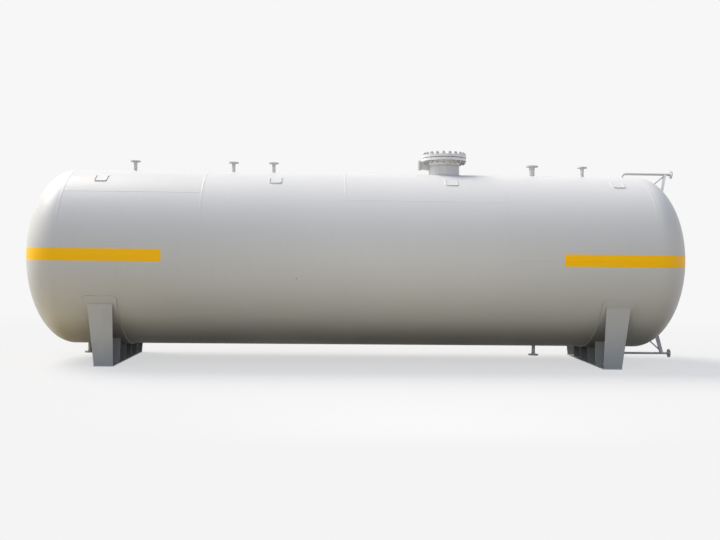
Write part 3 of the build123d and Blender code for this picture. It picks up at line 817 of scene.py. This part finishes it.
blocks = []
for turn in np.radians(180 / stud_count + 360 / stud_count * np.arange(stud_count)):
    centre = np.array([manhole_x + bolt_circle / 2 * math.cos(turn), bolt_circle / 2 * math.sin(turn), 0.0])
    blocks.append(closed_turn(stud_skin(studs_low[2], studs_high[2]), centre, True))
    under = flange_high[2] - flange_thickness
    for low in (cover_high[2], under - nut_height):
        blocks.append(closed_turn(nut_skin(low, low + nut_height), centre, False))
studs = lay("manhole_stud_bolts", blocks, stud_finish.material, smooth=False)
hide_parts("manhole_studs")


# The lifting arm's socket.
# A short upright tube left of the manhole, held off its neck by a plate on edge. The arm that swings the
# cover stands in it.
finish_node("davit_socket", fitting_paint)
plate_half, socket_leg = 0.007, 0.006
socket_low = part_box("davit_socket")[0]
neck_edge = manhole_x - math.sqrt(neck_radius**2 - plate_half**2)
weld_from_low, weld_from_high = 0.004, 0.012
weld_low, weld_high = socket_low[2] + weld_from_low, neck_high[2] - weld_from_high
blocks = []
for near in (-1, 1):
    upright = straight((neck_edge, near * plate_half, weld_low), (neck_edge, near * plate_half, weld_high))
    blocks.append(beside((-1, 0, 0), (0, near, 0), upright, socket_leg))
lay("davit_socket_welds", blocks, fitting_weld_paint)


# The top nozzles and the drains.
# Short necks of 57 and 89 mm pipe with weld-neck flanges. Each sealing face is turned bare steel, grooved,
# with a film of rust.
turned_face, given, give = start_group(
    "turned face",
    [("Place", VECTOR, (0.0, 0.0, 0.0)), ("Face radius", FLOAT, 0.051)],
    [("Face", FLOAT), ("Height", FLOAT)],
)
groove_pitch, groove_depth, face_slack, face_depth = 0.0016, 0.0001, 0.0005, 0.0006
parts = split(turned_face, given["Place"])
flat = place(turned_face, "ShaderNodeCombineXYZ", {0: parts["X"], 1: parts["Y"], 2: 0.0}).outputs[0]
radius = measure(turned_face, "LENGTH", flat)
reach = work(turned_face, "ADD", given["Face radius"], face_slack)
within = work(turned_face, "LESS_THAN", radius, reach)
level = work(turned_face, "GREATER_THAN", parts["Z"], -face_depth)
face = work(turned_face, "MULTIPLY", within, level)
groove = work(turned_face, "SINE", work(turned_face, "MULTIPLY", radius, 2 * math.pi / groove_pitch))
groove = work(turned_face, "MULTIPLY", work(turned_face, "MULTIPLY", groove, groove_depth), face)
turned_face.links.new(face, give.inputs["Face"])
turned_face.links.new(groove, give.inputs["Height"])
clean_steel, rust_film, face_metal = (0.30, 0.29, 0.275, 1), (0.17, 0.095, 0.05, 1), 0.7


def flange_finish(name, centre, turned, face_radius):
    """Paint on the flange, bare turned steel on its sealing face. A Mapping node brings the face to Z = 0."""
    finish = painted(name, fitting_grey, streaks=0.2, underside_shade=0.3)
    tree = finish.tree
    spot = spot_of(tree)
    to_face = tuple(-c for c in centre)
    moved = place(tree, "ShaderNodeVectorMath", {0: spot, 1: to_face}, operation="ADD").outputs[0]
    moved = place(tree, "ShaderNodeMapping", {"Vector": moved, "Rotation": turned}).outputs[0]
    bare = place(tree, "ShaderNodeGroup", {"Place": moved, "Face radius": face_radius}, node_tree=turned_face)
    film = ease(tree, mottle(tree, spot, 38.0, 5.0), 0.35, 0.7)
    overlay(finish, bare.outputs["Face"], blend_colour(tree, film, clean_steel, rust_film))
    metal = work(tree, "MULTIPLY", bare.outputs["Face"], face_metal)
    tree.links.new(metal, finish.shader.inputs["Metallic"])
    raise_bump(finish, bare.outputs["Height"])
    return finish.material


small_face, large_face = 0.051, 0.069
nozzle_leg, nozzle_seam_width, nozzle_seam_height = 0.008, 0.010, 0.0014
for number in (1, 2, 3, 4, 5):
    neck_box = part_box(f"top_nozzle_{number}_neck")
    flange_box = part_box(f"top_nozzle_{number}_flange")
    x = (neck_box[0][0] + neck_box[1][0]) / 2
    radius = (neck_box[1][0] - neck_box[0][0]) / 2
    face_radius = large_face if number == 4 else small_face
    face_middle = (x, 0.0, flange_box[1][2])
    finish_node(f"top_nozzle_{number}_neck", fitting_paint)
    finish = flange_finish(f"top flange {number} paint", face_middle, (0.0, 0.0, 0.0), face_radius)
    finish_node(f"top_nozzle_{number}_flange", finish)
    seam = pipe_seam((x, 0, neck_box[1][2]), radius, 2, nozzle_seam_width, nozzle_seam_height)
    blocks = [pipe_foot(x, radius, 1, nozzle_leg), seam]
    lay(f"top_nozzle_{number}_welds", blocks, fitting_weld_paint)

for side in ("left", "right"):
    neck_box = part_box(f"drain_{side}_neck")
    flange_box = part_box(f"drain_{side}_flange")
    x = (neck_box[0][0] + neck_box[1][0]) / 2
    radius = (neck_box[1][0] - neck_box[0][0]) / 2
    face_middle = (x, 0.0, flange_box[0][2])
    finish_node(f"drain_{side}_neck", fitting_paint)
    finish = flange_finish(f"drain {side} flange paint", face_middle, (math.pi, 0.0, 0.0), small_face)
    finish_node(f"drain_{side}_flange", finish)
    seam = pipe_seam((x, 0, neck_box[0][2]), radius, 2, nozzle_seam_width, nozzle_seam_height)
    blocks = [pipe_foot(x, radius, -1, nozzle_leg), seam]
    lay(f"drain_{side}_welds", blocks, fitting_weld_paint)


# The level gauge connections.
# Two pipes leave the shell near its right end, above and below, bend level and end in flanges for a gauge. A
# round bar and an angle hold each to the head. The upper angle is painted paler.
riser_x, gauge_radius, gauge_face = 4.422, 0.019, 0.039
gauge_leg, gauge_seam_width, gauge_seam_height = 0.006, 0.008, 0.0012
face_turned = (0.0, -math.pi / 2, 0.0)
strut_finish = painted("top strut paint", fitting_grey, streaks=0.2, underside_shade=0.2)
angle_pale = (0.88, 0.88, 0.875, 1)
angle_lean, angle_starts, angle_edge = 0.36, 4.0, 4.006
tree = strut_finish.tree
xyz = split(tree, spot_of(tree))
on_angle = work(tree, "SUBTRACT", xyz["X"], work(tree, "MULTIPLY", xyz["Z"], angle_lean))
overlay(strut_finish, ease(tree, on_angle, angle_starts, angle_edge), angle_pale)
for level_name, way in (("top", 1), ("bottom", -1)):
    flange_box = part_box(f"gauge_{level_name}_flange")
    level = (flange_box[0][2] + flange_box[1][2]) / 2
    face_middle = (flange_box[1][0], 0.0, level)
    finish_node(f"gauge_{level_name}_pipe", fitting_paint)
    finish_node(f"gauge_{level_name}_struts", strut_finish.material if level_name == "top" else fitting_paint)
    finish = flange_finish(f"gauge {level_name} flange paint", face_middle, face_turned, gauge_face)
    finish_node(f"gauge_{level_name}_flange", finish)
    blocks = [
        pipe_foot(riser_x, gauge_radius, way, gauge_leg),
        pipe_seam((flange_box[0][0], 0, level), gauge_radius, 0, gauge_seam_width, gauge_seam_height),
    ]
    lay(f"gauge_{level_name}_welds", blocks, fitting_weld_paint)


# The walkway clips.
# U-shaped flat bars on edge, four on each shoulder of the shell, that the walkway's brackets bolt to. They
# are welded down along both sides and painted with the shell.
clip_xs = (-4.067, -1.345, 1.443, 4.112)
clip_lean, clip_half, clip_reach = math.radians(29.7), 0.0925, 0.0975
clip_round, clip_bar, clip_leg = 0.030, 0.012, 0.004


def clip_outline(offset):
    """The U's centre line moved sideways by an offset: two straight legs and a straight foot with round
    corners, as points and the way to the U's outside at each."""
    arc = np.linspace(0, np.pi / 2, 7)
    left_way = np.stack([-np.cos(arc), -np.sin(arc)], -1)
    right_way = np.stack([np.sin(arc), -np.cos(arc)], -1)
    left = left_way * clip_round + [-clip_half + clip_round, -clip_reach + clip_round]
    right = right_way * clip_round + [clip_half - clip_round, -clip_reach + clip_round]
    points = np.vstack([[[-clip_half, clip_reach]], left, right, [[clip_half, clip_reach]]])
    ways = np.vstack([[[-1.0, 0.0]], left_way, right_way, [[1.0, 0.0]]])
    return points + ways * offset, ways


for side_name, side in (("near", -1), ("far", 1)):
    finish_node(f"walkway_clips_{side_name}", shell_paint)
    outward = np.array([0.0, side * math.sin(clip_lean), math.cos(clip_lean)])
    upward = np.cross(outward, [1.0, 0.0, 0.0])
    blocks = []
    for x in clip_xs:
        for offset in (clip_bar / 2, -clip_bar / 2):
            points, ways = clip_outline(offset)
            shift = points[:, 1:2]
            drop = np.sqrt(shell_radius**2 - shift**2)
            corner = points[:, :1] * lengthways + shift * upward + drop * outward + [x, 0.0, axis_height]
            away = (ways[:, :1] * lengthways + ways[:, 1:2] * upward) * math.copysign(1, offset)
            normal = unit((corner - [x, 0.0, axis_height]) * [0.0, 1.0, 1.0])
            away = unit(away - normal * (away * normal).sum(1, keepdims=True))
            blocks.append(corner_bead(corner, away, normal, clip_leg, False))
    lay(f"walkway_clip_{side_name}_welds", blocks, seam_paint)
